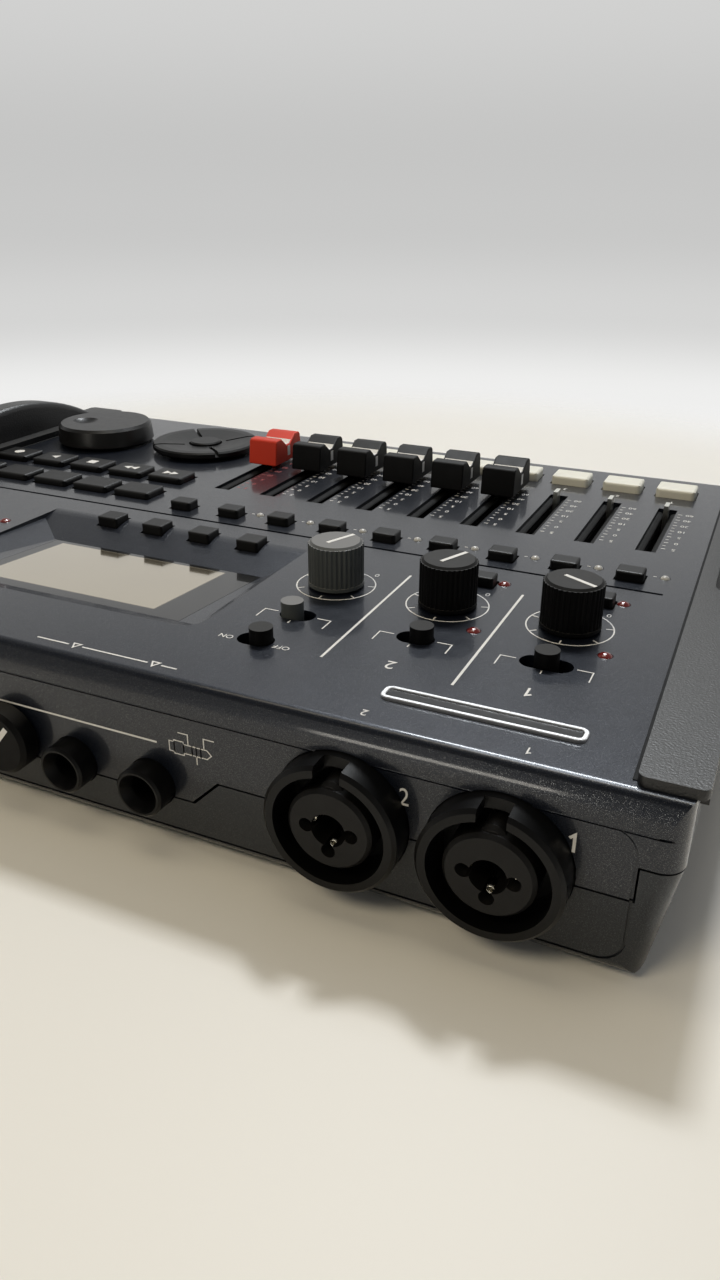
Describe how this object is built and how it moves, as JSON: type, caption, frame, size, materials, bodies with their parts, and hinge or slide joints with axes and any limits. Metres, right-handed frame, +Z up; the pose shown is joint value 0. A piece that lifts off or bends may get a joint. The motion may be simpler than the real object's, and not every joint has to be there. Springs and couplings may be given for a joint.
{
  "type": "multitrack recorder",
  "caption": "Desktop multitrack recorder with sliding faders, rubber pads, jog dial, gain knobs, tilted display, arched side rails and combination jacks on the rear wall.",
  "frame": {"origin": "middle of the bounding box, on the table under the feet", "axes": "+X the user's right, +Y towards the jacks at the rear, +Z up"},
  "size_m": [0.257, 0.19, 0.051],
  "materials": {
    "black_plastic": "satin black",
    "board": "solder mask green",
    "case_paint": "semi-gloss charcoal",
    "cell": "wrapped",
    "contact": "plated spring",
    "foot_rubber": "matt",
    "grey_plastic": "satin grey",
    "insert_plastic": "satin dark grey",
    "key_plastic": "satin dark grey",
    "lamp_red": "tinted clear",
    "lamp_white": "diffused",
    "lcd": "unlit display",
    "lever_metal": "bright",
    "lower_plastic": "fine grain charcoal",
    "pad_rubber": "translucent white",
    "rail_plastic": "fine sparkle black",
    "red_plastic": "satin red",
    "steel": "plated",
    "window": "clear glossy"
  },
  "bodies": {
    "chassis": {"top_case": "case_paint", "bottom_case": "lower_plastic", "left_rail": "rail_plastic", "right_rail": "rail_plastic", "battery_door": "lower_plastic", "rubber_feet": "foot_rubber", "case_screws": "steel", "board_screws": "steel", "control_board": "board", "jack_board": "board", "display_window": "window", "lcd_module": "lcd", "combo_jack_shells": "black_plastic", "combo_jack_inserts": "insert_plastic", "line_jacks": "black_plastic", "fader_bodies": "steel", "control_bodies": "steel", "key_switches": "grey_plastic", "status_lamps": "lamp_white", "peak_lamps": "lamp_red", "switch_bodies": "grey_plastic", "battery_cells": "cell", "battery_contacts": "contact", "usb_socket": "steel", "card_socket": "steel"},
    "fader_1_body": {"fader_1": "lever_metal"},
    "fader_2_body": {"fader_2": "lever_metal"},
    "fader_3_body": {"fader_3": "lever_metal"},
    "fader_4_body": {"fader_4": "black_plastic"},
    "fader_5_body": {"fader_5": "black_plastic"},
    "fader_6_body": {"fader_6": "black_plastic"},
    "fader_7_body": {"fader_7": "black_plastic"},
    "fader_8_body": {"fader_8": "black_plastic"},
    "fader_master_body": {"fader_master": "red_plastic"},
    "gain_knob_1_body": {"gain_knob_1": "black_plastic"},
    "gain_knob_2_body": {"gain_knob_2": "black_plastic"},
    "balance_knob_body": {"balance_knob": "grey_plastic"},
    "phones_knob_body": {"phones_knob": "black_plastic"},
    "jog_dial_body": {"jog_dial": "black_plastic"},
    "source_switch_1_body": {"source_switch_1": "black_plastic"},
    "source_switch_2_body": {"source_switch_2": "black_plastic"},
    "metronome_switch_body": {"metronome_switch": "grey_plastic"},
    "phantom_switch_body": {"phantom_switch": "black_plastic"},
    "power_switch_body": {"power_switch": "black_plastic"},
    "pad_1_body": {"pad_1": "pad_rubber"},
    "pad_2_body": {"pad_2": "pad_rubber"},
    "pad_3_body": {"pad_3": "pad_rubber"},
    "pad_4_body": {"pad_4": "pad_rubber"},
    "pad_5_body": {"pad_5": "pad_rubber"},
    "pad_6_body": {"pad_6": "pad_rubber"},
    "pad_7_body": {"pad_7": "pad_rubber"},
    "pad_8_body": {"pad_8": "pad_rubber"},
    "cursor_ring_body": {"cursor_ring": "key_plastic"},
    "enter_key_body": {"enter_key": "key_plastic"},
    "track_keys_body": {"track_keys": "key_plastic"},
    "soft_keys_body": {"soft_keys": "key_plastic"},
    "input_keys_body": {"input_keys": "key_plastic"},
    "mode_keys_body": {"mode_keys": "key_plastic"},
    "transport_keys_body": {"transport_keys": "key_plastic"}
  },
  "joints": [
    {"name": "fader_1_slide", "type": "slide", "parent": "chassis", "child": "fader_1_body", "axis": [0, 1, 0], "range_m": [0, 0.03]},
    {"name": "fader_2_slide", "type": "slide", "parent": "chassis", "child": "fader_2_body", "axis": [0, 1, 0], "range_m": [0, 0.03]},
    {"name": "fader_3_slide", "type": "slide", "parent": "chassis", "child": "fader_3_body", "axis": [0, 1, 0], "range_m": [0, 0.03]},
    {"name": "fader_4_slide", "type": "slide", "parent": "chassis", "child": "fader_4_body", "axis": [0, 1, 0], "range_m": [0, 0.03]},
    {"name": "fader_5_slide", "type": "slide", "parent": "chassis", "child": "fader_5_body", "axis": [0, 1, 0], "range_m": [0, 0.03]},
    {"name": "fader_6_slide", "type": "slide", "parent": "chassis", "child": "fader_6_body", "axis": [0, 1, 0], "range_m": [0, 0.03]},
    {"name": "fader_7_slide", "type": "slide", "parent": "chassis", "child": "fader_7_body", "axis": [0, 1, 0], "range_m": [0, 0.03]},
    {"name": "fader_8_slide", "type": "slide", "parent": "chassis", "child": "fader_8_body", "axis": [0, 1, 0], "range_m": [0, 0.03]},
    {"name": "fader_master_slide", "type": "slide", "parent": "chassis", "child": "fader_master_body", "axis": [0, 1, 0], "range_m": [0, 0.03]},
    {"name": "gain_knob_1_turn", "type": "hinge", "parent": "chassis", "child": "gain_knob_1_body", "pos_m": [-0.0939, 0.032, 0.04], "axis": [0, 0, 1], "range_deg": [-219, 95]},
    {"name": "gain_knob_2_turn", "type": "hinge", "parent": "chassis", "child": "gain_knob_2_body", "pos_m": [-0.0664, 0.032, 0.04], "axis": [0, 0, 1], "range_deg": [-314, 0]},
    {"name": "balance_knob_turn", "type": "hinge", "parent": "chassis", "child": "balance_knob_body", "pos_m": [-0.0389, 0.032, 0.04], "axis": [0, 0, 1], "range_deg": [-314, 0]},
    {"name": "phones_knob_turn", "type": "hinge", "parent": "chassis", "child": "phones_knob_body", "pos_m": [0.0105, 0.086, 0.0165], "axis": [0, 1, 0], "range_deg": [-110, 190]},
    {"name": "jog_dial_turn", "type": "hinge", "parent": "chassis", "child": "jog_dial_body", "pos_m": [0.0945, -0.054, 0.04], "axis": [0, 0, 1], "continuous": true},
    {"name": "source_switch_1_slide", "type": "slide", "parent": "chassis", "child": "source_switch_1_body", "axis": [1, 0, 0], "range_m": [-0.0026, 0.0026]},
    {"name": "source_switch_2_slide", "type": "slide", "parent": "chassis", "child": "source_switch_2_body", "axis": [1, 0, 0], "range_m": [0, 0.0026]},
    {"name": "metronome_switch_slide", "type": "slide", "parent": "chassis", "child": "metronome_switch_body", "axis": [1, 0, 0], "range_m": [-0.0026, 0]},
    {"name": "phantom_switch_slide", "type": "slide", "parent": "chassis", "child": "phantom_switch_body", "axis": [1, 0, 0], "range_m": [0, 0.0026]},
    {"name": "power_switch_slide", "type": "slide", "parent": "chassis", "child": "power_switch_body", "axis": [1, 0, 0], "range_m": [0, 0.0026]},
    {"name": "pad_1_press", "type": "slide", "parent": "chassis", "child": "pad_1_body", "axis": [0, 0, -1], "range_m": [0, 0.0006], "stiffness_N_per_m": 600, "springref_m": -0.001},
    {"name": "pad_2_press", "type": "slide", "parent": "chassis", "child": "pad_2_body", "axis": [0, 0, -1], "range_m": [0, 0.0006], "stiffness_N_per_m": 600, "springref_m": -0.001},
    {"name": "pad_3_press", "type": "slide", "parent": "chassis", "child": "pad_3_body", "axis": [0, 0, -1], "range_m": [0, 0.0006], "stiffness_N_per_m": 600, "springref_m": -0.001},
    {"name": "pad_4_press", "type": "slide", "parent": "chassis", "child": "pad_4_body", "axis": [0, 0, -1], "range_m": [0, 0.0006], "stiffness_N_per_m": 600, "springref_m": -0.001},
    {"name": "pad_5_press", "type": "slide", "parent": "chassis", "child": "pad_5_body", "axis": [0, 0, -1], "range_m": [0, 0.0006], "stiffness_N_per_m": 600, "springref_m": -0.001},
    {"name": "pad_6_press", "type": "slide", "parent": "chassis", "child": "pad_6_body", "axis": [0, 0, -1], "range_m": [0, 0.0006], "stiffness_N_per_m": 600, "springref_m": -0.001},
    {"name": "pad_7_press", "type": "slide", "parent": "chassis", "child": "pad_7_body", "axis": [0, 0, -1], "range_m": [0, 0.0006], "stiffness_N_per_m": 600, "springref_m": -0.001},
    {"name": "pad_8_press", "type": "slide", "parent": "chassis", "child": "pad_8_body", "axis": [0, 0, -1], "range_m": [0, 0.0006], "stiffness_N_per_m": 600, "springref_m": -0.001},
    {"name": "cursor_ring_tilt", "type": "hinge", "parent": "chassis", "child": "cursor_ring_body", "pos_m": [0.056, -0.059, 0.03675], "axis": [1, 0, 0], "range_deg": [-2, 2], "stiffness_Nm_per_rad": 0.6},
    {"name": "enter_key_press", "type": "slide", "parent": "chassis", "child": "enter_key_body", "axis": [0, 0, -1], "range_m": [0, 0.0006], "stiffness_N_per_m": 600, "springref_m": -0.001},
    {"name": "track_keys_press", "type": "slide", "parent": "chassis", "child": "track_keys_body", "axis": [0, 0, -1], "range_m": [0, 0.0006], "stiffness_N_per_m": 600, "springref_m": -0.001},
    {"name": "soft_keys_press", "type": "slide", "parent": "chassis", "child": "soft_keys_body", "axis": [0, 0, -1], "range_m": [0, 0.0006], "stiffness_N_per_m": 600, "springref_m": -0.001},
    {"name": "input_keys_press", "type": "slide", "parent": "chassis", "child": "input_keys_body", "axis": [0, 0, -1], "range_m": [0, 0.0006], "stiffness_N_per_m": 600, "springref_m": -0.001},
    {"name": "mode_keys_press", "type": "slide", "parent": "chassis", "child": "mode_keys_body", "axis": [0, 0, -1], "range_m": [0, 0.0006], "stiffness_N_per_m": 600, "springref_m": -0.001},
    {"name": "transport_keys_press", "type": "slide", "parent": "chassis", "child": "transport_keys_body", "axis": [0, 0, -1], "range_m": [0, 0.0006], "stiffness_N_per_m": 600, "springref_m": -0.001}
  ]
}
